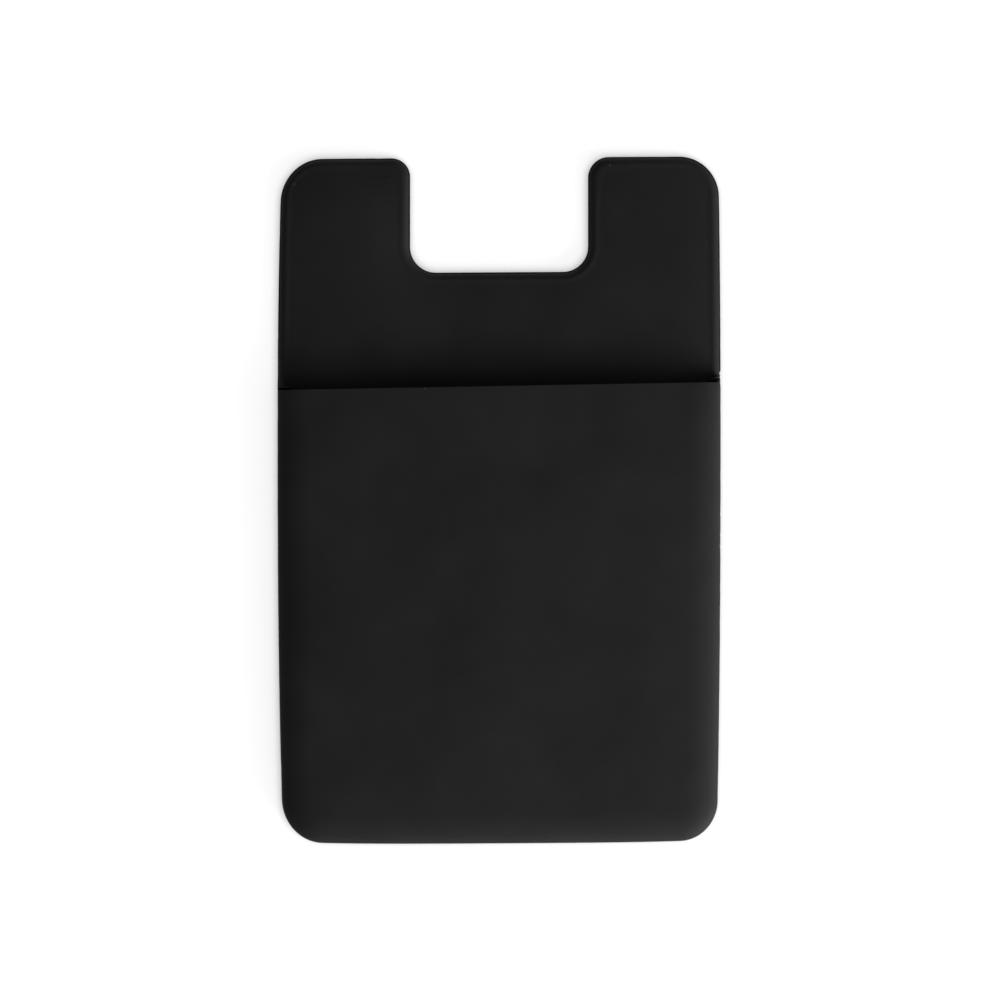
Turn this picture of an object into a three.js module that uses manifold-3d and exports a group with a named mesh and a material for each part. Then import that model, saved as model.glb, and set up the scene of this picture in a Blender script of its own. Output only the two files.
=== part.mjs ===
import * as THREE from 'three';
import { mergeVertices } from 'three/addons/utils/BufferGeometryUtils.js';
import Module from 'manifold-3d';

// Stick-on card holder: a moulded silicone pocket for one bank card, with a thumb notch,
// an adhesive pad on its flat back and the peel-off liner that covers the pad.
// Millimetres. +X runs across the front, +Y towards the notched end, +Z out of the front panel.
// The origin is under the middle of the outline, on the liner's outer face.

// The card that the pocket holds
const CARD_WIDTH = 53.98;
const CARD_LENGTH = 85.6;
const CARD_THICKNESS = 0.76;

// Room left round the card, for each face or edge
const SIDE_CLEARANCE = 0.12;
const FACE_CLEARANCE = 0.18;

// Silicone walls
const PLATE_THICKNESS = 1.25;
const PANEL_THICKNESS = 1;
const SIDE_WALL = 0.8;
const BOTTOM_WALL = 1;

// Flash line left by the mould round the back edge
const FLASH_WIDTH = 0.2;
const FLASH_THICKNESS = 0.3;

// Outline seen from the front
const TOP_CORNER_RADIUS = 5.2;
const BOTTOM_CORNER_RADIUS = 5.7;
const NOTCH_WIDTH = 22.6;
const NOTCH_DEPTH = 14.6;
const NOTCH_CORNER_RADIUS = 3.2;
const TAB_CORNER_RADIUS = 2.4;
const SHARPEST_CORNER_RADIUS = 0.4;

// The soft sides draw in a little from their widest place, just below the mouth
const TOP_DRAW_IN = 0.34;
const BOTTOM_DRAW_IN = 0.45;
const WIDEST_BELOW_MOUTH = 9;
const OUT_OF_SQUARE_DEG = 0.37;

// Mouth of the pocket
const MOUTH_FROM_TOP = 29.1;
const MOUTH_SLOPE_DEG = 0.7;
const LIP_RADIUS = 0.4;
const WEB_LENGTH = 0.6;
const WEB_OVERLAP = 1.5;

// Rounded edges: how far each one reaches in from the outline, and how far it drops
const PANEL_ROLL_WIDTH = 3.4;
const PANEL_ROLL_DROP = 1.3;
const PLATE_EDGE_WIDTH = 1;
const PLATE_EDGE_DROP = 0.8;
const SLOT_EDGE_RADIUS = 0.45;
const MOST_OF_A_CORNER = 0.9;

// Adhesive pad and liner
const PAD_THICKNESS = 0.25;
const PAD_INSET = 2;
const LINER_THICKNESS = 0.125;
const LINER_OVERHANG = 0.6;

// Facets
const CURVE_STEPS = 6;
const ROLL_STEPS = 6;
const EDGE_STEPS = 4;

// Cutting tools reach this far past what they cut
const CUT_MARGIN = 5;

const SLOT_HEIGHT = CARD_THICKNESS + 2 * FACE_CLEARANCE;
const WIDTH = CARD_WIDTH + 2 * (SIDE_CLEARANCE + SIDE_WALL + FLASH_WIDTH);
const LENGTH = CARD_LENGTH + BOTTOM_WALL + 2 * FLASH_WIDTH;
const MOUTH_Y = LENGTH / 2 - MOUTH_FROM_TOP;
const PANEL_FRONT = PLATE_THICKNESS + SLOT_HEIGHT + PANEL_THICKNESS;

const wasm = await Module();
wasm.setup();

// Turns a closed geometry into a solid that can be joined and cut
function toSolid(geometry) {
  const bare = geometry.clone();
  bare.deleteAttribute('normal');
  bare.deleteAttribute('uv');
  const merged = mergeVertices(bare);
  return new wasm.Manifold(new wasm.Mesh({
    numProp: 3,
    vertProperties: merged.attributes.position.array,
    triVerts: Uint32Array.from(merged.index.array),
  }));
}

// Turns a joined or cut solid back into a geometry
function toGeometry(solid) {
  const mesh = solid.getMesh();
  const geometry = new THREE.BufferGeometry();
  geometry.setAttribute('position', new THREE.BufferAttribute(mesh.vertProperties, mesh.numProp));
  geometry.setIndex(new THREE.BufferAttribute(mesh.triVerts, 1));
  geometry.computeVertexNormals();
  return geometry;
}

// Direction, from a circle's centre, of the point where a line from outside touches the circle
function touchingAngle(from, centre, radius, turn) {
  const towards = Math.atan2(from.y - centre.y, from.x - centre.x);
  return towards + turn * Math.acos(radius / from.distanceTo(centre));
}

// A point on a circle, in a given direction from its centre
function pointOnCircle(centre, radius, angle) {
  return new THREE.Vector2(centre.x + radius * Math.cos(angle), centre.y + radius * Math.sin(angle));
}

// A tab's inner top corner, then the notch's floor corner, walked down the right-hand wall
function notchWallDown(shape, wallX, top, floor, tabRadius, floorRadius) {
  shape.lineTo(wallX + tabRadius, top);
  shape.absarc(wallX + tabRadius, top - tabRadius, tabRadius, Math.PI / 2, Math.PI, false);
  shape.absarc(wallX - floorRadius, floor + floorRadius, floorRadius, 0, -Math.PI / 2, true);
}

// The same wall mirrored, walked up from the floor to the left-hand tab
function notchWallUp(shape, wallX, top, floor, tabRadius, floorRadius) {
  shape.absarc(-wallX + floorRadius, floor + floorRadius, floorRadius, -Math.PI / 2, -Math.PI, true);
  shape.absarc(-wallX - tabRadius, top - tabRadius, tabRadius, 0, Math.PI / 2, false);
}

// The holder's outline, drawn in by inset all round, with or without the thumb notch
function outline(inset, notched) {
  const half = WIDTH / 2 - inset;
  const end = LENGTH / 2 - inset;
  const topRadius = Math.max(TOP_CORNER_RADIUS - inset, SHARPEST_CORNER_RADIUS);
  const bottomRadius = Math.max(BOTTOM_CORNER_RADIUS - inset, SHARPEST_CORNER_RADIUS);
  const topCentre = new THREE.Vector2(half - TOP_DRAW_IN - topRadius, end - topRadius);
  const bottomCentre = new THREE.Vector2(half - BOTTOM_DRAW_IN - bottomRadius, bottomRadius - end);
  const widest = new THREE.Vector2(half, MOUTH_Y - WIDEST_BELOW_MOUTH);
  const upperPull = new THREE.Vector2(half, (widest.y + topCentre.y) / 2);
  const lowerPull = new THREE.Vector2(half, (widest.y + bottomCentre.y) / 2);
  const topAngle = touchingAngle(upperPull, topCentre, topRadius, 1);
  const bottomAngle = touchingAngle(lowerPull, bottomCentre, bottomRadius, -1);
  const topTouch = pointOnCircle(topCentre, topRadius, topAngle);
  const bottomTouch = pointOnCircle(bottomCentre, bottomRadius, bottomAngle);

  const shape = new THREE.Shape();
  shape.moveTo(-bottomCentre.x, -end);
  shape.lineTo(bottomCentre.x, -end);
  shape.absarc(bottomCentre.x, bottomCentre.y, bottomRadius, -Math.PI / 2, bottomAngle, false);
  shape.quadraticCurveTo(lowerPull.x, lowerPull.y, widest.x, widest.y);
  shape.quadraticCurveTo(upperPull.x, upperPull.y, topTouch.x, topTouch.y);
  shape.absarc(topCentre.x, topCentre.y, topRadius, topAngle, Math.PI / 2, false);
  if (notched) {
    const wallX = NOTCH_WIDTH / 2 + inset;
    const floor = LENGTH / 2 - NOTCH_DEPTH - inset;
    const tabRadius = Math.max(TAB_CORNER_RADIUS - inset, SHARPEST_CORNER_RADIUS);
    const floorRadius = NOTCH_CORNER_RADIUS + inset;
    notchWallDown(shape, wallX, end, floor, tabRadius, floorRadius);
    notchWallUp(shape, wallX, end, floor, tabRadius, floorRadius);
  }
  shape.lineTo(-topCentre.x, end);
  shape.absarc(-topCentre.x, topCentre.y, topRadius, Math.PI / 2, Math.PI - topAngle, false);
  shape.quadraticCurveTo(-upperPull.x, upperPull.y, -widest.x, widest.y);
  shape.quadraticCurveTo(-lowerPull.x, lowerPull.y, -bottomTouch.x, bottomTouch.y);
  shape.absarc(-bottomCentre.x, bottomCentre.y, bottomRadius, Math.PI - bottomAngle, 3 * Math.PI / 2, false);
  return shape;
}

// The ends run slightly out of square to the sides
function outOfSquare(geometry) {
  const slope = Math.tan(THREE.MathUtils.degToRad(OUT_OF_SQUARE_DEG));
  return geometry.applyMatrix4(new THREE.Matrix4().makeShear(slope, 0, 0, 0, 0, 0));
}

// A flat sheet of the outline, standing on the plane z = 0
function sheet(inset, thickness) {
  const flat = new THREE.ExtrudeGeometry(outline(inset, true), {
    depth: thickness,
    bevelEnabled: false,
    curveSegments: CURVE_STEPS,
  });
  return outOfSquare(flat);
}

// A slab of the outline whose top and bottom edges roll over, between two heights
function rolledSlab(inset, notched, bottom, top, rollWidth, rollDrop, steps) {
  const slab = new THREE.ExtrudeGeometry(outline(inset, notched), {
    depth: top - bottom - 2 * rollDrop,
    bevelEnabled: true,
    bevelSize: rollWidth,
    bevelOffset: -rollWidth,
    bevelThickness: rollDrop,
    bevelSegments: steps,
    curveSegments: CURVE_STEPS,
  });
  return toSolid(outOfSquare(slab.translate(0, 0, bottom + rollDrop)));
}

// A profile drawn as length against height, swept across the width from x to x + across
function sweptAcross(profile, x, across) {
  const sweep = new THREE.ExtrudeGeometry(profile, {
    depth: across,
    bevelEnabled: false,
    curveSegments: CURVE_STEPS,
  });
  const upright = new THREE.Matrix4().makeBasis(
    new THREE.Vector3(0, 1, 0),
    new THREE.Vector3(0, 0, 1),
    new THREE.Vector3(1, 0, 0),
  );
  return sweep.applyMatrix4(upright).translate(x, 0, 0);
}

// Turns a swept profile to the mouth's slope and sets it at the mouth
function atMouth(geometry) {
  geometry.rotateZ(THREE.MathUtils.degToRad(MOUTH_SLOPE_DEG));
  return toSolid(outOfSquare(geometry.translate(0, MOUTH_Y, 0)));
}

// Everything below the mouth, ending in the panel's rounded lip
function belowMouth() {
  const profile = new THREE.Shape();
  profile.moveTo(-LENGTH, -CUT_MARGIN);
  profile.lineTo(0, -CUT_MARGIN);
  profile.lineTo(0, PANEL_FRONT - LIP_RADIUS);
  profile.absarc(-LIP_RADIUS, PANEL_FRONT - LIP_RADIUS, LIP_RADIUS, 0, Math.PI / 2, false);
  profile.lineTo(-LENGTH, PANEL_FRONT);
  const across = WIDTH + 2 * CUT_MARGIN;
  return atMouth(sweptAcross(profile, -across / 2, across));
}

// Short webs that carry each side wall past the lip and run out on the plate
function mouthWebs() {
  const rise = PANEL_FRONT - PANEL_ROLL_DROP / 2 - PLATE_THICKNESS;
  const profile = new THREE.Shape();
  profile.moveTo(-WEB_OVERLAP, 0);
  profile.lineTo(WEB_LENGTH, 0);
  profile.lineTo(WEB_LENGTH, PLATE_THICKNESS);
  profile.absellipse(0, PLATE_THICKNESS, WEB_LENGTH, rise, 0, Math.PI / 2, false);
  profile.lineTo(-WEB_OVERLAP, PLATE_THICKNESS + rise);
  const across = SIDE_WALL + FLASH_WIDTH + CUT_MARGIN;
  const inner = WIDTH / 2 - FLASH_WIDTH - SIDE_WALL;
  const right = atMouth(sweptAcross(profile, inner, across));
  const left = atMouth(sweptAcross(profile, -inner - across, across));
  return right.add(left);
}

// The slot that the card slides into, open at the mouth
function cardSlot() {
  const edge = Math.min(SLOT_EDGE_RADIUS, SLOT_HEIGHT / 2 * MOST_OF_A_CORNER);
  const roof = PLATE_THICKNESS + SLOT_HEIGHT;
  return rolledSlab(FLASH_WIDTH + SIDE_WALL, false, PLATE_THICKNESS, roof, edge, edge, EDGE_STEPS);
}

// Back plate with its tabs and notch; its front edge is rounded and its back edge is square
function backPlate() {
  const edgeWidth = Math.min(PLATE_EDGE_WIDTH, (TAB_CORNER_RADIUS - FLASH_WIDTH) * MOST_OF_A_CORNER);
  const edgeDrop = Math.min(PLATE_EDGE_DROP, PLATE_THICKNESS * MOST_OF_A_CORNER);
  return rolledSlab(FLASH_WIDTH, true, -CUT_MARGIN, PLATE_THICKNESS, edgeWidth, edgeDrop, EDGE_STEPS);
}

// Pocket body: rolled edges at the sides and the bottom, cut at the mouth and hollowed by the slot
function pocketBody() {
  const smallestCorner = Math.min(TOP_CORNER_RADIUS, BOTTOM_CORNER_RADIUS) - FLASH_WIDTH;
  const rollWidth = Math.min(PANEL_ROLL_WIDTH, smallestCorner * MOST_OF_A_CORNER);
  const below = -CUT_MARGIN;
  const block = rolledSlab(FLASH_WIDTH, false, below, PANEL_FRONT, rollWidth, PANEL_ROLL_DROP, ROLL_STEPS);
  return block.intersect(belowMouth().add(mouthWebs())).subtract(cardSlot());
}

// The whole moulding, cut flat at the back, with the flash line round its back edge
function siliconePocket() {
  const moulding = pocketBody().add(backPlate());
  const behind = new THREE.BoxGeometry(2 * WIDTH, 2 * LENGTH, 2 * CUT_MARGIN);
  const flatBacked = moulding.subtract(toSolid(behind.translate(0, 0, -CUT_MARGIN)));
  return toGeometry(flatBacked.add(toSolid(sheet(0, FLASH_THICKNESS))));
}

// Black silicone rubber, straight from a finely sanded mould
const silicone = new THREE.MeshStandardMaterial({ color: 0x171717, roughness: 0.55, metalness: 0 });

// Clear acrylic adhesive on a thin tissue carrier
const adhesive = new THREE.MeshStandardMaterial({ color: 0xd9d6cc, roughness: 0.35, metalness: 0 });

// Siliconised release paper
const releasePaper = new THREE.MeshStandardMaterial({ color: 0xe9e4d6, roughness: 0.6, metalness: 0 });

function piece(name, geometry, material, z) {
  const mesh = new THREE.Mesh(geometry, material);
  mesh.name = name;
  mesh.position.z = z;
  return mesh;
}

const holder = new THREE.Group();
const linerInset = PAD_INSET - LINER_OVERHANG;
holder.add(piece('release_liner', sheet(linerInset, LINER_THICKNESS), releasePaper, 0));
holder.add(piece('adhesive_pad', sheet(PAD_INSET, PAD_THICKNESS), adhesive, LINER_THICKNESS));
holder.add(piece('silicone_pocket', siliconePocket(), silicone, LINER_THICKNESS + PAD_THICKNESS));

export default holder;
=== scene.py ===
"""Stick-on card holder: a moulded silicone pocket for one bank card, seen from above on a white floor.

The pocket has a wide thumb notch at its open end, a soft panel with rolled sides and bottom, a sheet of
adhesive on its flat back and the peel-off liner that still covers the adhesive. Its shapes are drawn in
millimetres in a straight frame. At the end each one is settled: the long sides are bowed, the ends are set
out of square, and the whole is moved to its place and turned into metres.
"""
import logging
import math
from dataclasses import dataclass
from enum import Enum

import bmesh
import bpy
from mathutils import Matrix, Vector, noise


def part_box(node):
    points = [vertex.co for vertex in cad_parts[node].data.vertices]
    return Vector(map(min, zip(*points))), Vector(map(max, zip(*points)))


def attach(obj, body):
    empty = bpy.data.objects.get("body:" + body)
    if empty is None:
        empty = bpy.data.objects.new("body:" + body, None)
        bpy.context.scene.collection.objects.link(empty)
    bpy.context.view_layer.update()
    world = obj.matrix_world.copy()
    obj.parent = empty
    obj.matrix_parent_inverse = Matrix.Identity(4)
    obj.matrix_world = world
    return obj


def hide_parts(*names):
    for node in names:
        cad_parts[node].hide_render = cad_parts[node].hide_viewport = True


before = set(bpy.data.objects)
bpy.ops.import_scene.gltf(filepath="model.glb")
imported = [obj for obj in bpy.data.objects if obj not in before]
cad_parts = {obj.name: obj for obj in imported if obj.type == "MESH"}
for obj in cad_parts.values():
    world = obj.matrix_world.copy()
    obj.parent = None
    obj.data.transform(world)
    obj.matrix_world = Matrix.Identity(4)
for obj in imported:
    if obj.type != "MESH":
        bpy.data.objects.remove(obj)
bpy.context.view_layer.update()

LOG = logging.getLogger("card_holder")

# One millimetre in metres
MM = 0.001
# Two heights closer than this, in millimetres, are taken as one
TOUCHING = 1e-4
# A vertex closer to a cutting plane than this, in millimetres, is taken to lie on it
ON_PLANE = 1e-5
# A face whose normal has a z above this looks straight up
FACING_UP = 0.99
# What the out-of-square ends add to the length of the CAD box, in millimetres
END_RISE = 0.288
# How far the adhesive and its liner lie inside the outline, in millimetres
ADHESIVE_INSET = 2.0
LINER_INSET = 1.4
# Inputs of a Mix node that are its share and its two colours, and the output that is its mixed colour
MIX_SHARE, MIX_FIRST, MIX_SECOND = 0, 6, 7
MIX_RESULT = 2


class Join(Enum):
    """How one solid is combined with another."""

    ADD = "UNION"
    CUT = "DIFFERENCE"
    KEEP_COMMON = "INTERSECT"


def linear(colour: str) -> tuple[float, float, float, float]:
    """Turns an sRGB hex colour into linear red, green, blue and alpha, by the sRGB standard's own curve.

    Args:
        colour: Six hex digits after a hash, such as "#121212".

    Returns:
        The linear colour with an alpha of 1.
    """
    parts = [int(colour[i:i + 2], 16) / 255 for i in (1, 3, 5)]
    red, green, blue = (p / 12.92 if p <= 0.04045 else ((p + 0.055) / 1.055) ** 2.4 for p in parts)
    return red, green, blue, 1.0


def add_node(
    tree: bpy.types.NodeTree,
    kind: str,
    inputs: dict[str | int, object] | None = None,
    **settings: object,
) -> bpy.types.Node:
    """Adds a node with its settings, values and links.

    Args:
        tree: The node tree that gets the node.
        kind: Blender's name for the node's type.
        inputs: Values or output sockets, by the name or number of the input they go to.
        **settings: The node's own properties, such as operation="MULTIPLY".

    Returns:
        The new node.
    """
    node = tree.nodes.new(kind)
    for name, value in settings.items():
        setattr(node, name, value)
    for key, value in (inputs or {}).items():
        if isinstance(value, bpy.types.NodeSocket):
            tree.links.new(value, node.inputs[key])
        else:
            node.inputs[key].default_value = value
    return node


def new_material(name: str) -> tuple[bpy.types.Material, bpy.types.NodeTree]:
    """Makes an empty node material with nothing but its output.

    Args:
        name: The material's name.

    Returns:
        The material and its node tree.
    """
    material = bpy.data.materials.new(name)
    material.use_nodes = True
    material.node_tree.nodes.clear()
    return material, material.node_tree


def to_object(mesh: bmesh.types.BMesh, name: str) -> bpy.types.Object:
    """Turns a bmesh into an object of the scene and frees the bmesh.

    Args:
        mesh: The finished bmesh.
        name: The object's name.

    Returns:
        The new object, at the origin.
    """
    data = bpy.data.meshes.new(name)
    mesh.to_mesh(data)
    mesh.free()
    piece = bpy.data.objects.new(name, data)
    bpy.context.scene.collection.objects.link(piece)
    return piece


def combine(base: bpy.types.Object, tool: bpy.types.Object, how: Join) -> None:
    """Joins a solid to another, cuts it away, or keeps what both share.

    Args:
        base: The solid that changes.
        tool: The other solid, which is used up.
        how: What is done with the two.
    """
    change = base.modifiers.new(how.name, "BOOLEAN")
    change.object = tool
    change.operation = how.value
    change.solver = "MANIFOLD"
    graph = bpy.context.evaluated_depsgraph_get()
    result = bpy.data.meshes.new_from_object(base.evaluated_get(graph))
    base.modifiers.clear()
    base.data = result
    bpy.data.objects.remove(tool)


def rounded_box_distance(x: float, y: float, half_x: float, half_y: float, radius: float) -> float:
    """Distance from the edge of a rounded rectangle round the origin, negative inside it.

    Args:
        x: Place across.
        y: Place along.
        half_x: Half the rectangle's width.
        half_y: Half the rectangle's length.
        radius: Its corner radius.

    Returns:
        The signed distance.
    """
    across = abs(x) - half_x + radius
    along = abs(y) - half_y + radius
    outside = math.hypot(max(across, 0.0), max(along, 0.0))
    return outside + min(max(across, along), 0.0) - radius


@dataclass(frozen=True)
class Side:
    """One side of the outline, in millimetres.

    Attributes:
        top_corner: Radius of the outer corner at the notched end.
        bottom_corner: Radius of the corner at the closed end.
        tab_corner: Radius where the tab's end meets the notch.
        notch_corner: Radius in the notch's floor.
        top_draw_in: How far the side has come in at its top corner.
        bottom_draw_in: How far it has come in at its bottom corner.
        top_end_sag: How far the top end has come down at this side.
        bottom_end_sag: How far the bottom end has come up at this side.
    """

    top_corner: float
    bottom_corner: float
    tab_corner: float
    notch_corner: float
    top_draw_in: float
    bottom_draw_in: float
    top_end_sag: float
    bottom_end_sag: float


@dataclass(frozen=True)
class Outline:
    """The holder's outline from the front, in millimetres, before its sides are bowed.

    Attributes:
        width: Its widest, over the flash line.
        length: From end to end.
        left: The corners and draw-ins of its left side.
        right: Those of its right side.
        notch_width: Width of the thumb notch.
        notch_depth: How far the notch reaches in from the end.
        sharpest_corner: Least corner radius of an outline that is drawn in.
        corner_segments: Edges in each corner.
        tab_blend: Width over which the distances to the edge and to the notch pass into each other.
    """

    width: float
    length: float
    left: Side = Side(
        top_corner=5.45,
        bottom_corner=5.5,
        tab_corner=2.4,
        notch_corner=3.3,
        top_draw_in=0.38,
        bottom_draw_in=0.55,
        top_end_sag=0.06,
        bottom_end_sag=0.38,
    )
    right: Side = Side(
        top_corner=5.15,
        bottom_corner=5.0,
        tab_corner=2.65,
        notch_corner=3.2,
        top_draw_in=0.2,
        bottom_draw_in=0.38,
        top_end_sag=0.02,
        bottom_end_sag=0.32,
    )
    notch_width: float = 22.6
    notch_depth: float = 14.55
    sharpest_corner: float = 0.4
    corner_segments: int = 20
    tab_blend: float = 2.8

    def corners(self, inset: float, notched: bool) -> list[tuple[float, float, float]]:
        """Lists the outline's corners anticlockwise from the bottom left.

        Args:
            inset: How far the outline is drawn in all round.
            notched: Whether it has the thumb notch.

        Returns:
            The x, y and radius of each corner.
        """
        half = self.width / 2 - inset
        end = self.length / 2 - inset
        wall = self.notch_width / 2 + inset
        floor = self.length / 2 - self.notch_depth - inset
        halves = []
        for side in (self.right, self.left):
            corners = [
                (half, -end, max(side.bottom_corner - inset, self.sharpest_corner)),
                (half, end, max(side.top_corner - inset, self.sharpest_corner)),
            ]
            if notched:
                corners.append((wall, end, max(side.tab_corner - inset, self.sharpest_corner)))
                corners.append((wall, floor, side.notch_corner + inset))
            halves.append(corners)
        right, left = halves
        return [*right, *[(-x, y, radius) for x, y, radius in reversed(left)]]

    def face(
        self, mesh: bmesh.types.BMesh, inset: float, notched: bool, height: float, longest_edge: float
    ) -> bmesh.types.BMFace:
        """Draws the outline as one flat face.

        Args:
            mesh: The bmesh that gets the face.
            inset: How far the outline is drawn in.
            notched: Whether it has the thumb notch.
            height: The face's z.
            longest_edge: Straight stretches are divided into edges no longer than this.

        Returns:
            The face, looking up.
        """
        corners = self.corners(inset, notched)
        verts = [mesh.verts.new((x, y, height)) for x, y, _ in corners]
        mesh.faces.new(verts)
        for vert, (_, _, radius) in zip(verts, corners):
            bmesh.ops.bevel(
                mesh,
                geom=[vert],
                offset=radius,
                offset_type="OFFSET",
                segments=self.corner_segments,
                profile=0.5,
                affect="VERTICES",
                material=-1,
            )
        for edge in [e for e in mesh.edges if e.calc_length() > longest_edge]:
            cuts = math.ceil(edge.calc_length() / longest_edge) - 1
            bmesh.ops.subdivide_edges(mesh, edges=[edge], cuts=cuts)
        mesh.faces.ensure_lookup_table()
        return mesh.faces[0]

    def depth_inside(self, x: float, y: float, notched: bool, corner: float) -> float:
        """How far a place lies inside the outline.

        Args:
            x: Place across.
            y: Place along.
            notched: Whether the thumb notch counts as outside.
            corner: Radius given to the outer corners. A larger one keeps the distance smooth further in.

        Returns:
            The distance from the edge, positive inside.
        """
        depth = -rounded_box_distance(x, y, self.width / 2, self.length / 2, corner)
        if not notched:
            return depth
        to_notch = rounded_box_distance(
            x, y - self.length / 2, self.notch_width / 2, self.notch_depth, self.left.notch_corner
        )
        # The lesser of the two, rounded off with a parabola where they are nearly alike
        blend = max(self.tab_blend - abs(depth - to_notch), 0.0) / self.tab_blend
        return min(depth, to_notch) - blend * blend * self.tab_blend / 4


@dataclass(frozen=True)
class EdgeRoll:
    """The profile over which a front face rolls down to its side wall, in millimetres.

    Attributes:
        width: Width of the roll itself.
        drop: Height of the roll.
        steps: Rings that the roll is made of.
        fall_reach: How far in the front starts to fall towards the roll.
        fall_drop: How far it has fallen at the outline.
        shoulder_width: Width of the zone behind the roll that gets rings of its own.
        shoulder_steps: Number of those rings.
        bead_height: Height of the low bead that runs along behind the roll.
        bead_place: How far in the bead's crest lies.
        bead_spread: The bead's half width.
    """

    width: float
    drop: float
    steps: int
    fall_reach: float = 1.0
    fall_drop: float = 0.0
    shoulder_width: float = 0.0
    shoulder_steps: int = 0
    bead_height: float = 0.0
    bead_place: float = 0.0
    bead_spread: float = 1.0

    def roll_over(self, mesh: bmesh.types.BMesh, top: bmesh.types.BMFace) -> None:
        """Rolls the rim of a top face over as a quarter of an ellipse.

        Args:
            mesh: The slab's bmesh.
            top: Its top face, at the height where the roll starts.
        """
        turned = 0.0
        for step in range(1, self.steps + 1):
            angle = step / self.steps * math.pi / 2
            bmesh.ops.inset_individual(
                mesh,
                faces=[top],
                thickness=self.width * (math.cos(turned) - math.cos(angle)),
                depth=self.drop * (math.sin(angle) - math.sin(turned)),
                use_even_offset=True,
            )
            turned = angle
        for _ in range(self.shoulder_steps):
            flat = self.shoulder_width / self.shoulder_steps
            bmesh.ops.inset_individual(mesh, faces=[top], thickness=flat, depth=0.0, use_even_offset=True)

    def fall(self, depth: float) -> float:
        """How far the front face has sunk at a depth inside the outline, beyond the roll itself."""
        return self.fall_drop * max(1 - depth / self.fall_reach, 0.0) ** 2

    def bead(self, depth: float) -> float:
        """How far the bead lifts the front face at a depth inside the outline."""
        return self.bead_height * math.exp(-(((depth - self.bead_place) / self.bead_spread) ** 2))


@dataclass
class CardHolder:
    """Sizes that all the holder's pieces share, in millimetres, in the straight frame.

    Attributes:
        outline: The outline of the flash line, which is the widest part.
        widest_y: Where the bowed sides are widest.
        out_of_square: Angle, in degrees, by which the ends run out of square to the sides.
        side_power: How late the sides' draw-in sets in along them.
        side_depth: How quickly that draw-in fades towards the middle.
        end_power: How late the ends' sag sets in across them.
        end_depth: How quickly that sag fades towards the middle.
    """

    outline: Outline
    widest_y: float = 6.6
    out_of_square: float = 0.336
    side_power: float = 2.34
    side_depth: int = 4
    end_power: float = 3.5
    end_depth: int = 6

    def bow(self, x: float, y: float) -> tuple[float, float]:
        """Draws a place in, as the soft sides and ends of the real holder do towards its corners.

        Args:
            x: Place across, in the straight frame.
            y: Place along.

        Returns:
            The place across and along on the bowed holder.
        """
        outline = self.outline
        side = outline.right if x > 0 else outline.left
        above = y > self.widest_y
        draw_in = side.top_draw_in if above else side.bottom_draw_in
        corner = side.top_corner if above else side.bottom_corner
        reach = outline.length / 2 - corner - math.copysign(self.widest_y, y - self.widest_y)
        along = abs(y - self.widest_y) / reach
        outward = abs(x) / (outline.width / 2)
        drawn_in = draw_in * along ** self.side_power * outward ** self.side_depth
        end_sag = side.top_end_sag if y > 0 else side.bottom_end_sag
        sagged = end_sag * outward ** self.end_power * (abs(y) / (outline.length / 2)) ** self.end_depth
        return x - math.copysign(drawn_in, x), y - math.copysign(sagged, y)

    def settle(self, piece: bpy.types.Object, height: float) -> None:
        """Bows a finished piece, sets its ends out of square and turns it into metres at its place.

        Args:
            piece: The piece, modelled in millimetres in the straight frame.
            height: The z that its own zero comes to, in millimetres.
        """
        slope = math.tan(math.radians(self.out_of_square))
        for vert in piece.data.vertices:
            x, y = self.bow(vert.co.x, vert.co.y)
            vert.co = Vector((x, y + x * slope, vert.co.z + height)) * MM
        piece.data.update()


@dataclass(frozen=True)
class MouldMark:
    """A small fin of silicone that the mould's core left at one end of the mouth, in millimetres.

    Attributes:
        x: Its middle across.
        above: How far it stands in front of the mouth.
        half_width: Half its length across.
        half_thickness: Half its thickness.
        top: Height of its crest above the plate's edge.
        turn: Its angle to the mouth, in degrees.
    """

    x: float
    above: float
    half_width: float
    half_thickness: float
    top: float
    turn: float


@dataclass(frozen=True)
class Nick:
    """A place on the right-hand side where the flash line has torn out, in millimetres.

    Attributes:
        y: Its middle along the side.
        depth: How deep it goes.
        reach: Half its length.
    """

    y: float
    depth: float
    reach: float

    def depth_at(self, y: float) -> float:
        """How deep the nick is at a place along the side."""
        return self.depth * math.exp(-(((y - self.y) / self.reach) ** 2))


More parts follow.
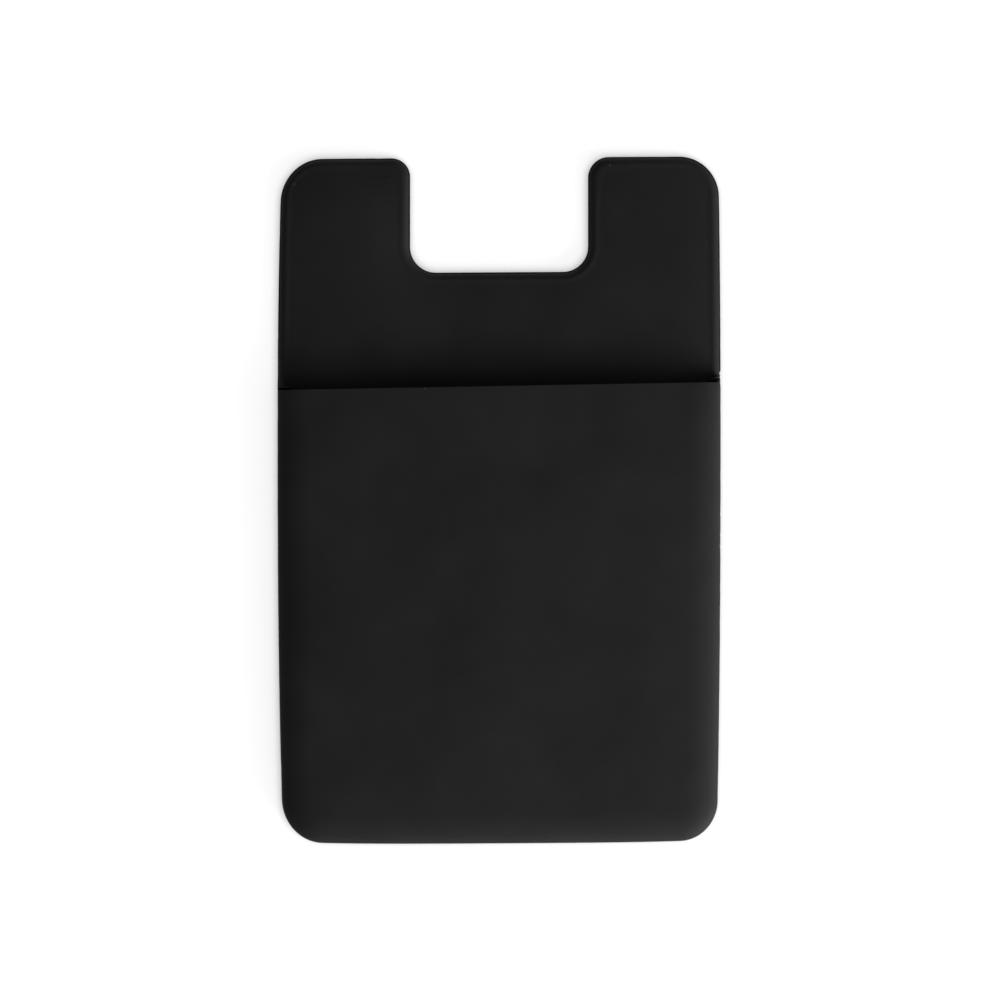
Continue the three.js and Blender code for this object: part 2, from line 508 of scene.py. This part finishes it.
@dataclass
class PocketMoulding:
    """The one-piece silicone pocket: back plate with tabs, walls, front panel, mould marks and flash line.

    Sizes are in millimetres, measured up from the moulding's flat back.

    Attributes:
        holder: What the pocket shares with the other pieces.
        height: Height of its flat back above the ground.
        slot_height: Height of the card slot.
        plate: Thickness of the back plate.
        panel: Thickness of the front panel.
        side_wall: Thickness of the walls beside and below the card.
        flash_width: How far the flash line stands out.
        flash_thickness: Its thickness.
        flash_longest_edge: Longest edge along it, short enough to show its raggedness.
        plate_in_flash: How far up the flash line the plate starts, as a share, so that the two overlap.
        body_in_flash: How far up it the pocket's body starts.
        raggedness: How far the flash line's edge wanders.
        rag_length: Over what length it wanders.
        mouth_y: Place of the mouth along the holder.
        mouth_slope: Angle, in degrees, by which the mouth rises to the right.
        lip_radius: Radius of the panel's lip.
        lip_segments: Edges over that radius.
        lip_share: Share of the panel's roll that the rounded lip follows down at each side.
        panel_edge: The profile of the panel's sides and bottom.
        plate_edge: The profile of the plate's edge.
        slot_edge: The profile of the slot's upper edge.
        flash_edge: The profile of the flash line's edge.
        marks: The small fins at the mouth's ends.
        mark_segments: Edges round a fin, with half as many from end to end.
        nicks: The nicks in the flash line.
        panel_grid: Distance between the cuts that let the panel be crowned.
        plate_grid: The same for the plate.
        longest_edge: Longest edge along the straight sides elsewhere.
        shade_smooth_below: Greatest angle, in degrees, that is shaded smooth.
    """

    holder: CardHolder
    height: float
    slot_height: float = 1.12
    plate: float = 1.25
    panel: float = 1.0
    side_wall: float = 0.8
    flash_width: float = 0.2
    flash_thickness: float = 0.25
    flash_longest_edge: float = 0.14
    plate_in_flash: float = 1 / 3
    body_in_flash: float = 1 / 2
    raggedness: float = 0.03
    rag_length: float = 1.6
    mouth_y: float = 14.4
    mouth_slope: float = 0.7
    lip_radius: float = 0.4
    lip_segments: int = 6
    lip_share: float = 0.8
    panel_edge: EdgeRoll = EdgeRoll(width=4.0, drop=1.1, steps=16, fall_reach=12.0, fall_drop=0.42)
    plate_edge: EdgeRoll = EdgeRoll(
        width=0.75,
        drop=0.42,
        steps=9,
        fall_reach=8.0,
        fall_drop=0.42,
        shoulder_width=1.6,
        shoulder_steps=10,
        bead_height=0.055,
        bead_place=0.95,
        bead_spread=0.4,
    )
    slot_edge: EdgeRoll = EdgeRoll(width=0.45, drop=0.45, steps=6)
    flash_edge: EdgeRoll = EdgeRoll(width=0.13, drop=0.07, steps=4)
    # Each mark's x, above, half_width, half_thickness, top and turn
    marks: tuple[MouldMark, ...] = (
        MouldMark(-27.3, 0.36, 1.25, 0.1, 1.4, 0.0),
        MouldMark(-27.9, 0.1, 0.8, 0.3, 0.9, 0.0),
        MouldMark(27.5, 0.66, 0.8, 0.11, 1.5, 18.0),
        MouldMark(27.8, 0.1, 1.2, 0.42, 1.4, -14.0),
    )
    mark_segments: int = 48
    # Each nick's y, depth and reach
    nicks: tuple[Nick, ...] = (
        Nick(16.0, 0.15, 0.16),
        Nick(15.52, 0.08, 0.2),
        Nick(14.75, 0.04, 0.12),
        Nick(-1.9, 0.05, 0.12),
        Nick(-4.55, 0.06, 0.12),
        Nick(-6.05, 0.05, 0.14),
    )
    panel_grid: float = 1.4
    plate_grid: float = 0.8
    longest_edge: float = 2.5
    shade_smooth_below: float = 32.0

    def slab(
        self,
        inset: float,
        notched: bool,
        bottom: float,
        top: float,
        edge: EdgeRoll,
        longest_edge: float,
    ) -> tuple[bmesh.types.BMesh, bmesh.types.BMFace]:
        """Makes a slab of the outline whose front edge rolls over.

        Args:
            inset: How far its side lies inside the outline.
            notched: Whether it has the thumb notch.
            bottom: Height of its back.
            top: Height of its front.
            edge: The profile of its front edge.
            longest_edge: Longest edge along its straight sides.

        Returns:
            The bmesh and its front face.
        """
        mesh = bmesh.new()
        back = self.holder.outline.face(mesh, inset, notched, bottom, longest_edge)
        made = bmesh.ops.extrude_face_region(mesh, geom=[back])["geom"]
        front = next(g for g in made if isinstance(g, bmesh.types.BMFace))
        rise = top - edge.drop - bottom
        bmesh.ops.translate(mesh, vec=(0, 0, rise), verts=front.verts)
        mesh.normal_update()
        edge.roll_over(mesh, front)
        return mesh, front

    def divide(
        self, mesh: bmesh.types.BMesh, front: bmesh.types.BMFace, lowest: float, highest: float, grid: float
    ) -> None:
        """Cuts a front face into a grid, so that it can be crowned.

        Args:
            mesh: The slab's bmesh.
            front: Its front face.
            lowest: The lowest y that gets a cut across.
            highest: The highest y that gets a cut across.
            grid: Distance between the cuts.
        """
        half = self.holder.outline.width / 2
        spans = ((-half, half, Vector((1, 0, 0))), (lowest, highest, Vector((0, 1, 0))))
        cuts = []
        for start, end, direction in spans:
            count = math.floor((end - start) / grid)
            cuts += [(start + (i + 0.5) * (end - start) / count, direction) for i in range(count)]
        faces = [front]
        for place, direction in cuts:
            edges = {e for f in faces for e in f.edges}
            verts = {v for f in faces for v in f.verts}
            cut = bmesh.ops.bisect_plane(
                mesh,
                geom=[*faces, *edges, *verts],
                dist=ON_PLANE,
                plane_co=direction * place,
                plane_no=direction,
            )
            faces = [g for g in cut["geom"] if isinstance(g, bmesh.types.BMFace)]

    def crown_plate(self, mesh: bmesh.types.BMesh, bottom: float) -> None:
        """Lets the plate's front fall gently towards its edge and raises the low bead along that edge.

        Args:
            mesh: The plate's bmesh.
            bottom: Height of its back, which stays.
        """
        outline = self.holder.outline
        edge = self.plate_edge
        bead_corner = outline.right.top_corner
        # The fall reaches far in, so its corners are wider and no crease runs in from them
        fall_corner = bead_corner + edge.fall_reach / 2
        for vert in mesh.verts:
            x, y, z = vert.co
            if z > bottom + TOUCHING:
                vert.co.z -= edge.fall(outline.depth_inside(x, y, True, fall_corner))
                vert.co.z += edge.bead(outline.depth_inside(x, y, True, bead_corner))

    def back_plate(self) -> bpy.types.Object:
        """Makes the back plate with its two tabs, its notch and its rounded front edge."""
        bottom = self.flash_thickness * self.plate_in_flash
        mesh, front = self.slab(
            self.flash_width, True, bottom, self.plate, self.plate_edge, self.longest_edge
        )
        end = self.holder.outline.length / 2
        self.divide(mesh, front, self.mouth_y, end, self.plate_grid)
        self.crown_plate(mesh, bottom)
        return to_object(mesh, "back_plate")

    def mouth(self) -> tuple[Vector, Vector]:
        """Gives a point on the mouth's plane and the direction out of the pocket."""
        turn = math.radians(self.mouth_slope)
        return Vector((0, self.mouth_y, 0)), Vector((-math.sin(turn), math.cos(turn), 0))

    @property
    def front_height(self) -> float:
        """Height of the front panel's face."""
        return self.plate + self.slot_height + self.panel

    def block(self, cut: bool) -> bpy.types.Object:
        """Makes the pocket's body with its rolled sides and bottom.

        Args:
            cut: Whether it ends at the mouth, with the panel's rounded lip.

        Returns:
            The solid body, without its slot.
        """
        bottom = self.flash_thickness * self.body_in_flash
        mesh, front = self.slab(
            self.flash_width, False, bottom, self.front_height, self.panel_edge, self.longest_edge
        )
        if cut:
            self.cut_at_mouth(mesh)
            front = max((f for f in mesh.faces if f.normal.z > FACING_UP), key=lambda f: f.calc_area())
            # No cut across comes near the lip, which keeps its long even faces
            highest = self.mouth_y - 2 * self.panel_grid
            self.divide(mesh, front, -self.holder.outline.length / 2, highest, self.panel_grid)
        self.crown_below_mouth(mesh, bottom)
        return to_object(mesh, "pocket_body")

    def crown_below_mouth(self, mesh: bmesh.types.BMesh, bottom: float) -> None:
        """Crowns the panel across its sides and its bottom, but not towards the mouth.

        Args:
            mesh: The body's bmesh.
            bottom: Height of its back, which stays.
        """
        outline = self.holder.outline
        # Wider than the real corners, so that no crease runs in from them
        corner = outline.left.bottom_corner + self.panel_edge.fall_reach / 3
        # Beyond this the crown stays as it is, up to the mouth
        last_y = self.mouth_y / 2
        for vert in mesh.verts:
            if vert.co.z > bottom + TOUCHING:
                depth = outline.depth_inside(vert.co.x, min(vert.co.y, last_y), False, corner)
                vert.co.z -= self.panel_edge.fall(depth)

    def cut_at_mouth(self, mesh: bmesh.types.BMesh) -> None:
        """Cuts the body off at the mouth, closes it and rounds the panel's lip.

        Args:
            mesh: The body's bmesh.
        """
        place, outward = self.mouth()
        cut = bmesh.ops.bisect_plane(
            mesh,
            geom=[*mesh.verts, *mesh.edges, *mesh.faces],
            dist=ON_PLANE,
            plane_co=place,
            plane_no=outward,
            clear_outer=True,
        )
        rim = [g for g in cut["geom_cut"] if isinstance(g, bmesh.types.BMEdge)]
        bmesh.ops.holes_fill(mesh, edges=rim)
        mesh.normal_update()
        lowest = self.front_height - self.panel_edge.drop * self.lip_share
        lip = [e for e in rim if all(v.co.z > lowest for v in e.verts)]
        bmesh.ops.bevel(
            mesh,
            geom=lip,
            offset=self.lip_radius,
            offset_type="OFFSET",
            segments=self.lip_segments,
            profile=0.5,
            affect="EDGES",
            material=-1,
            clamp_overlap=True,
        )
        mesh.normal_update()

    def fin(self, mark: MouldMark) -> bpy.types.Object:
        """Makes one of the small fins at the ends of the mouth, cut to the body's outer shape.

        Args:
            mark: The fin's place and size.

        Returns:
            The fin, ready to be joined to the body.
        """
        mesh = bmesh.new()
        bmesh.ops.create_uvsphere(
            mesh, u_segments=self.mark_segments, v_segments=self.mark_segments // 2, radius=1
        )
        bmesh.ops.scale(mesh, vec=(mark.half_width, mark.half_thickness, mark.top), verts=mesh.verts)
        turn = Matrix.Rotation(math.radians(self.mouth_slope + mark.turn), 3, "Z")
        bmesh.ops.rotate(mesh, cent=(0, 0, 0), matrix=turn, verts=mesh.verts)
        y = self.mouth_y + mark.x * math.tan(math.radians(self.mouth_slope)) + mark.above
        plate_at_edge = self.plate - self.plate_edge.fall_drop
        bmesh.ops.translate(mesh, vec=(mark.x, y, plate_at_edge), verts=mesh.verts)
        fin = to_object(mesh, "fin")
        combine(fin, self.block(cut=False), Join.KEEP_COMMON)
        return fin

    def card_slot(self) -> bpy.types.Object:
        """Makes the solid that is cut out for the card, with rounded edges."""
        mesh = bmesh.new()
        inset = self.flash_width + self.side_wall
        # Starts below the plate's face everywhere, because the plate is joined on after the cut
        floor = self.plate - self.plate_edge.fall_drop
        back = self.holder.outline.face(mesh, inset, False, floor, self.longest_edge)
        made = bmesh.ops.extrude_face_region(mesh, geom=[back])["geom"]
        roof = next(g for g in made if isinstance(g, bmesh.types.BMFace))
        rise = self.plate + self.slot_height - floor
        bmesh.ops.translate(mesh, vec=(0, 0, rise), verts=roof.verts)
        mesh.normal_update()
        bmesh.ops.translate(mesh, vec=(0, 0, -self.slot_edge.drop), verts=roof.verts)
        self.slot_edge.roll_over(mesh, roof)
        return to_object(mesh, "card_slot")

    def flash(self) -> bpy.types.Object:
        """Makes the thin flash line round the back edge, slightly ragged and with a few nicks."""
        mesh, _ = self.slab(
            0.0, True, 0.0, self.flash_thickness, self.flash_edge, self.flash_longest_edge
        )
        for vert in mesh.verts:
            vert.co.x, vert.co.y = self.ragged(vert.co.x, vert.co.y)
        return to_object(mesh, "flash")

    def ragged(self, x: float, y: float) -> tuple[float, float]:
        """Draws a place on the flash line in by the mould's slight raggedness and by the nicks.

        Args:
            x: Place across.
            y: Place along.

        Returns:
            The place as it is on the real edge.
        """
        half_width = self.holder.outline.width / 2
        half_length = self.holder.outline.length / 2
        rough = self.raggedness * max(noise.noise(Vector((x, y, 0.0)) / self.rag_length), 0.0)
        bite = sum(nick.depth_at(y) for nick in self.nicks) if x > 0 else 0.0
        at_side = max(1 - (half_width - abs(x)) / self.flash_width, 0.0)
        at_end = max(1 - (half_length - abs(y)) / self.flash_width, 0.0)
        return x - math.copysign(at_side * (rough + bite), x), y - math.copysign(at_end * rough, y)

    def build(self) -> bpy.types.Object:
        """Joins the moulding's forms into one solid and settles it.

        Returns:
            The finished silicone pocket.
        """
        pocket = self.block(cut=True)
        combine(pocket, self.card_slot(), Join.CUT)
        combine(pocket, self.back_plate(), Join.ADD)
        for mark in self.marks:
            combine(pocket, self.fin(mark), Join.ADD)
        combine(pocket, self.flash(), Join.ADD)
        self.holder.settle(pocket, self.height)
        pocket.name = "pocket_moulding"
        pocket.data.name = "pocket_moulding"
        for face in pocket.data.polygons:
            face.use_smooth = True
        pocket.data.set_sharp_from_angle(angle=math.radians(self.shade_smooth_below))
        return pocket


@dataclass
class Sheet:
    """A thin sheet cut to the holder's outline, such as the adhesive or its liner, in millimetres.

    Attributes:
        name: The sheet's name.
        holder: What it shares with the other pieces.
        inset: How far it lies inside the outline.
        bottom: Height of its underside.
        thickness: Its thickness.
        longest_edge: Longest edge along its straight sides, short enough to follow their bow.
    """

    name: str
    holder: CardHolder
    inset: float
    bottom: float
    thickness: float
    longest_edge: float = 2.0

    def build(self) -> bpy.types.Object:
        """Makes the sheet at its place.

        Returns:
            The sheet, in metres.
        """
        mesh = bmesh.new()
        back = self.holder.outline.face(mesh, self.inset, True, 0.0, self.longest_edge)
        made = bmesh.ops.extrude_face_region(mesh, geom=[back])["geom"]
        verts = [g for g in made if isinstance(g, bmesh.types.BMVert)]
        bmesh.ops.translate(mesh, vec=(0, 0, self.thickness), verts=verts)
        mesh.normal_update()
        sheet = to_object(mesh, self.name)
        self.holder.settle(sheet, self.bottom)
        return sheet


@dataclass(frozen=True)
class SiliconeRubber:
    """Black silicone rubber, compression moulded in a finely blasted mould.

    It gives the eye a deep neutral black with a broad, soft sheen and no sharp reflection. Lengths are in
    millimetres.

    Attributes:
        dark: Colour of the darker clouds in it.
        light: Colour of the lighter ones, where fine dust clings to the rubber.
        dust: Colour of a single speck of dust.
        ior: Refractive index of silicone rubber.
        sheen_level: Weakens the reflection, because the blasted grain traps much of it.
        roughness: How matt the grain makes it.
        roughness_change: How far that changes from cloud to cloud.
        cloud: Size of the clouds of clinging dust, about a finger's breadth.
        cloud_detail: Layers of finer cloud in them.
        ripple: Length of the soft sheet's waves.
        ripple_height: Height of those waves.
        grain: Size of the blasted grain. The real 0.05 is too fine to show, so it is drawn coarser.
        grain_height: Height of the grain.
        relief_detail: Layers of finer relief in the waves and in the grain.
        specks: Places of the specks of dust, across and along.
        speck_radius: Where a speck ends.
        speck_core: Share of that radius over which it has its full colour.
    """

    dark: str = "#151515"
    light: str = "#232323"
    dust: str = "#3c3c3c"
    ior: float = 1.41
    sheen_level: float = 0.12
    roughness: float = 0.6
    roughness_change: float = 0.02
    cloud: float = 9.0
    cloud_detail: float = 3.0
    ripple: float = 5.0
    ripple_height: float = 0.03
    grain: float = 0.25
    grain_height: float = 0.002
    relief_detail: float = 2.0
    specks: tuple[tuple[float, float], ...] = ((-25.95, 40.05), (14.05, 42.45), (-9.35, 14.1), (5.0, 14.5))
    speck_radius: float = 0.15
    speck_core: float = 1 / 3

    def speck_distance(self, tree: bpy.types.NodeTree, place: bpy.types.NodeSocket) -> bpy.types.NodeSocket:
        """Adds the distance to the nearest speck of dust, seen from the front.

        Args:
            tree: The material's node tree.
            place: The object's own coordinates.

        Returns:
            The distance, in metres.
        """
        flat = add_node(
            tree, "ShaderNodeVectorMath", {0: place, 1: (1.0, 1.0, 0.0)}, operation="MULTIPLY"
        ).outputs["Vector"]
        nearest = None
        for x, y in self.specks:
            away = add_node(
                tree, "ShaderNodeVectorMath", {0: flat, 1: (x * MM, y * MM, 0.0)}, operation="DISTANCE"
            ).outputs["Value"]
            if nearest is None:
                nearest = away
            else:
                both = {0: nearest, 1: away}
                nearest = add_node(tree, "ShaderNodeMath", both, operation="MINIMUM").outputs[0]
        return nearest

    def material(self) -> bpy.types.Material:
        """Builds the node material."""
        material, tree = new_material("silicone_rubber_moulded_matt")
        place = add_node(tree, "ShaderNodeTexCoord").outputs["Object"]
        clouds = add_node(
            tree,
            "ShaderNodeTexNoise",
            {"Vector": place, "Scale": 1 / (self.cloud * MM), "Detail": self.cloud_detail},
        ).outputs["Fac"]
        colour = add_node(
            tree,
            "ShaderNodeMix",
            {MIX_SHARE: clouds, MIX_FIRST: linear(self.dark), MIX_SECOND: linear(self.light)},
            data_type="RGBA",
        )
        ripples = add_node(
            tree,
            "ShaderNodeTexNoise",
            {"Vector": place, "Scale": 1 / (self.ripple * MM), "Detail": self.relief_detail},
        ).outputs["Fac"]
        uneven = add_node(
            tree,
            "ShaderNodeBump",
            {"Height": ripples, "Distance": self.ripple_height * MM, "Strength": 1.0},
        )
        grain = add_node(
            tree,
            "ShaderNodeTexNoise",
            {"Vector": place, "Scale": 1 / (self.grain * MM), "Detail": self.relief_detail},
        ).outputs["Fac"]
        bump = add_node(
            tree,
            "ShaderNodeBump",
            {
                "Height": grain,
                "Distance": self.grain_height * MM,
                "Strength": 1.0,
                "Normal": uneven.outputs["Normal"],
            },
        )
        rough = add_node(
            tree,
            "ShaderNodeMapRange",
            {
                "Value": clouds,
                "To Min": self.roughness - self.roughness_change,
                "To Max": self.roughness + self.roughness_change,
            },
        )
        speck = add_node(
            tree,
            "ShaderNodeMapRange",
            {
                "Value": self.speck_distance(tree, place),
                "From Min": self.speck_radius * MM,
                "From Max": self.speck_radius * self.speck_core * MM,
            },
        )
        dusty = add_node(
            tree,
            "ShaderNodeMix",
            {
                MIX_SHARE: speck.outputs["Result"],
                MIX_FIRST: colour.outputs[MIX_RESULT],
                MIX_SECOND: linear(self.dust),
            },
            data_type="RGBA",
        )
        surface = add_node(
            tree,
            "ShaderNodeBsdfPrincipled",
            {
                "Base Color": dusty.outputs[MIX_RESULT],
                "Roughness": rough.outputs["Result"],
                "IOR": self.ior,
                "Specular IOR Level": self.sheen_level,
                "Normal": bump.outputs["Normal"],
            },
        )
        add_node(tree, "ShaderNodeOutputMaterial", {"Surface": surface.outputs["BSDF"]})
        return material


@dataclass(frozen=True)
class ThinSheetFinish:
    """A plain pale sheet: tissue-carried acrylic adhesive, or release paper coated with silicone.

    It gives the eye a pale, faintly clouded face. The adhesive shines a little, and the coated paper less.
    Lengths are in millimetres.

    Attributes:
        name: The material's name.
        colour: Its colour.
        mottle: Colour of the clouds in it.
        fibre: Size of those clouds, which are bundles of paper fibres.
        roughness: How matt it is.
        ior: Its refractive index.
        relief: Height of the fibres on its face.
        fibre_detail: Layers of finer fibres.
        fibre_contrast: How strongly the finer layers show.
    """

    name: str
    colour: str
    mottle: str
    fibre: float
    roughness: float
    ior: float
    relief: float
    fibre_detail: float = 5.0
    fibre_contrast: float = 0.7

    def material(self) -> bpy.types.Material:
        """Builds the node material."""
        material, tree = new_material(self.name)
        place = add_node(tree, "ShaderNodeTexCoord").outputs["Object"]
        fibres = add_node(
            tree,
            "ShaderNodeTexNoise",
            {
                "Vector": place,
                "Scale": 1 / (self.fibre * MM),
                "Detail": self.fibre_detail,
                "Roughness": self.fibre_contrast,
            },
        )
        colour = add_node(
            tree,
            "ShaderNodeMix",
            {
                MIX_SHARE: fibres.outputs["Fac"],
                MIX_FIRST: linear(self.colour),
                MIX_SECOND: linear(self.mottle),
            },
            data_type="RGBA",
        )
        bump = add_node(
            tree,
            "ShaderNodeBump",
            {"Height": fibres.outputs["Fac"], "Distance": self.relief * MM, "Strength": 1.0},
        )
        surface = add_node(
            tree,
            "ShaderNodeBsdfPrincipled",
            {
                "Base Color": colour.outputs[MIX_RESULT],
                "Roughness": self.roughness,
                "IOR": self.ior,
                "Normal": bump.outputs["Normal"],
            },
        )
        add_node(tree, "ShaderNodeOutputMaterial", {"Surface": surface.outputs["BSDF"]})
        return material


# Clear tacky acrylic on both faces of a tissue: pale, smooth, with a little shine
ADHESIVE = ThinSheetFinish(
    name="acrylic_adhesive_on_tissue",
    colour="#d9d6cc",
    mottle="#e2e0d8",
    fibre=0.8,
    roughness=0.35,
    ior=1.47,
    relief=0.004,
)
# Cream kraft paper under a thin silicone coat: warm, faintly fibrous, half matt
RELEASE_PAPER = ThinSheetFinish(
    name="siliconised_release_paper",
    colour="#e9e4d6",
    mottle="#f0ecdf",
    fibre=0.5,
    roughness=0.45,
    ior=1.45,
    relief=0.006,
)


@dataclass(frozen=True)
class Softbox:
    """A rectangular lamp that looks at the holder.

    Attributes:
        name: The lamp's name.
        azimuth: Where it stands, in degrees from +X towards +Y.
        elevation: How high it stands, in degrees above the floor.
        distance: How far away it is, in metres.
        width: Its size along the horizon, in metres.
        height: Its other size, in metres.
        brightness: What its face looks like, where 1 is white.
    """

    name: str
    azimuth: float
    elevation: float
    distance: float
    width: float
    height: float
    brightness: float

    def light(self) -> None:
        """Puts the lamp in the scene."""
        data = bpy.data.lights.new(self.name, "AREA")
        data.shape = "RECTANGLE"
        data.size = self.width
        data.size_y = self.height
        data.energy = self.brightness * math.pi * self.width * self.height
        lamp = bpy.data.objects.new(self.name, data)
        level = math.cos(math.radians(self.elevation))
        place = Vector((
            level * math.cos(math.radians(self.azimuth)),
            level * math.sin(math.radians(self.azimuth)),
            math.sin(math.radians(self.elevation)),
        ))
        lamp.location = place * self.distance
        lamp.rotation_euler = place.to_track_quat("Z", "Y").to_euler()
        bpy.context.scene.collection.objects.link(lamp)


@dataclass(frozen=True)
class Studio:
    """The white floor, the world, the lamps and the camera.

    Attributes:
        lamps: The lamps round the holder.
        world_grey: Grey of the plain surround.
        floor_size: Side of the square floor, in metres.
        floor_below: How far it lies below the holder, in millimetres.
        floor_albedo: Grey that the floor gives back to the holder and its shadow.
        floor_shown: What the floor adds to that where it is looked at, so that it looks white.
        painted_shadow_reach: How far the contact shadow painted into the floor's glow reaches, in
            millimetres.
        painted_shadow_samples: Rays that measure that painted shadow.
        frame_width: Width of the picture at the sharp plane, in millimetres.
        lens: Focal length, in millimetres.
        sensor: Width of the camera's sensor, in millimetres.
        nearest_seen: Distance from which the camera sees things, in metres.
        camera_x: Place of the camera across, in millimetres.
        camera_y: Its place along.
        sharp_plane: Height at which the picture has its frame width, in millimetres.
    """

    lamps: tuple[Softbox, ...]
    world_grey: float = 0.04
    floor_size: float = 8.0
    floor_below: float = 0.02
    floor_albedo: float = 0.3
    floor_shown: float = 0.85
    painted_shadow_reach: float = 1.2
    painted_shadow_samples: int = 4
    frame_width: float = 126.86
    lens: float = 100.0
    sensor: float = 36.0
    nearest_seen: float = 0.01
    camera_x: float = 0.118
    camera_y: float = 0.059
    sharp_plane: float = 0.6

    def floor(self) -> None:
        """Makes the white floor, whose matt paint keeps the holder's shadow.

        It is plain white to the camera and in reflections, with a painted shadow dimming its glow beside the
        holder.
        """
        mesh = bmesh.new()
        bmesh.ops.create_grid(mesh, x_segments=1, y_segments=1, size=self.floor_size / 2)
        bmesh.ops.translate(mesh, vec=(0, 0, -self.floor_below * MM), verts=mesh.verts)
        floor = to_object(mesh, "floor")
        material, tree = new_material("white_studio_floor")
        paint = add_node(tree, "ShaderNodeBsdfDiffuse", {"Color": (*[self.floor_albedo] * 3, 1.0)})
        ray = add_node(tree, "ShaderNodeLightPath")
        seen = ray.outputs["Is Camera Ray"]
        for kind in ("Is Glossy Ray", "Is Transmission Ray"):
            either = {0: seen, 1: ray.outputs[kind]}
            seen = add_node(tree, "ShaderNodeMath", either, operation="MAXIMUM").outputs[0]
        # Painted contact shadow: ambient occlusion dims the floor's white glow right beside the holder
        painted_contact_shadow = add_node(
            tree,
            "ShaderNodeAmbientOcclusion",
            {"Distance": self.painted_shadow_reach * MM},
            samples=self.painted_shadow_samples,
        )
        shown = add_node(tree, "ShaderNodeMath", {0: seen, 1: self.floor_shown}, operation="MULTIPLY")
        strength = add_node(
            tree, "ShaderNodeMath", {0: shown.outputs[0], 1: painted_contact_shadow.outputs["AO"]}, operation="MULTIPLY"
        )
        glow = add_node(tree, "ShaderNodeEmission", {"Strength": strength.outputs[0]})
        both = add_node(tree, "ShaderNodeAddShader", {0: paint.outputs[0], 1: glow.outputs[0]})
        add_node(tree, "ShaderNodeOutputMaterial", {"Surface": both.outputs[0]})
        floor.data.materials.append(material)

    def world(self) -> None:
        """Sets a plain grey surround."""
        world = bpy.data.worlds.new("studio_surround")
        bpy.context.scene.world = world
        world.use_nodes = True
        tree = world.node_tree
        tree.nodes.clear()
        colour = (*[self.world_grey] * 3, 1.0)
        grey = add_node(tree, "ShaderNodeBackground", {"Color": colour, "Strength": 1.0})
        add_node(tree, "ShaderNodeOutputWorld", {"Surface": grey.outputs[0]})

    def camera(self) -> None:
        """Sets the camera straight above the holder."""
        data = bpy.data.cameras.new("camera")
        data.lens = self.lens
        data.sensor_width = self.sensor
        data.clip_start = self.nearest_seen
        camera = bpy.data.objects.new("camera", data)
        distance = self.frame_width * self.lens / self.sensor
        camera.location = Vector((self.camera_x, self.camera_y, self.sharp_plane + distance)) * MM
        bpy.context.scene.collection.objects.link(camera)
        bpy.context.scene.camera = camera

    def build(self) -> None:
        """Puts everything round the holder in the scene."""
        self.floor()
        self.world()
        self.camera()
        for lamp in self.lamps:
            lamp.light()
        bpy.context.scene.view_settings.view_transform = "Standard"


def finish_piece(piece: bpy.types.Object, node: str, material: bpy.types.Material) -> None:
    """Dresses a piece, lets it stand for its CAD node and reports it.

    Args:
        piece: The finished piece.
        node: The CAD node that it replaces.
        material: Its material.
    """
    piece.data.materials.clear()
    piece.data.materials.append(material)
    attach(piece, "root")
    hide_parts(node)
    LOG.info("%s: %d faces, replaces %s", piece.name, len(piece.data.polygons), node)


# Long soft lamps, most of them low over the floor. The key lights the panel's right edge and gives the mouth
# its shadow, the next three fill the front and the bottom edge, and the rest draw the rims and lift the left.
# Each has its name, azimuth, elevation, distance, width, height and brightness.
LAMPS = (
    Softbox("key_right", -30, 15, 0.5, 0.45, 0.16, 20.0),
    Softbox("near_right_low", -60, 18, 0.45, 0.4, 0.15, 6.0),
    Softbox("near_low", -90, 18, 0.45, 0.4, 0.15, 2.2),
    Softbox("near_right_high", -60, 41, 0.5, 0.4, 0.16, 2.2),
    Softbox("right_high", 0, 42, 0.6, 0.45, 0.2, 1.6),
    Softbox("right_low", 10, 8, 0.6, 0.45, 0.12, 1.7),
    Softbox("left_low", 200, 10, 1.0, 0.8, 0.3, 1.3),
    Softbox("left", 180, 30, 1.0, 0.8, 0.3, 1.3),
    Softbox("far_low", 90, 6, 1.0, 0.8, 0.3, 5.0),
)


def main() -> None:
    """Builds the holder's pieces in order, then the studio."""
    logging.basicConfig(level=logging.INFO, format="%(name)s: %(message)s")
    low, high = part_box("silicone_pocket")
    size = (high - low) / MM
    holder = CardHolder(Outline(width=size.x, length=size.y - END_RISE))
    pocket = PocketMoulding(holder, height=low.z / MM).build()
    finish_piece(pocket, "silicone_pocket", SiliconeRubber().material())

    low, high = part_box("adhesive_pad")
    pad = Sheet("adhesive_sheet", holder, ADHESIVE_INSET, low.z / MM, (high.z - low.z) / MM).build()
    finish_piece(pad, "adhesive_pad", ADHESIVE.material())

    low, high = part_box("release_liner")
    liner = Sheet("liner_sheet", holder, LINER_INSET, low.z / MM, (high.z - low.z) / MM).build()
    finish_piece(liner, "release_liner", RELEASE_PAPER.material())

    Studio(LAMPS).build()


if __name__ == "__main__":
    main()
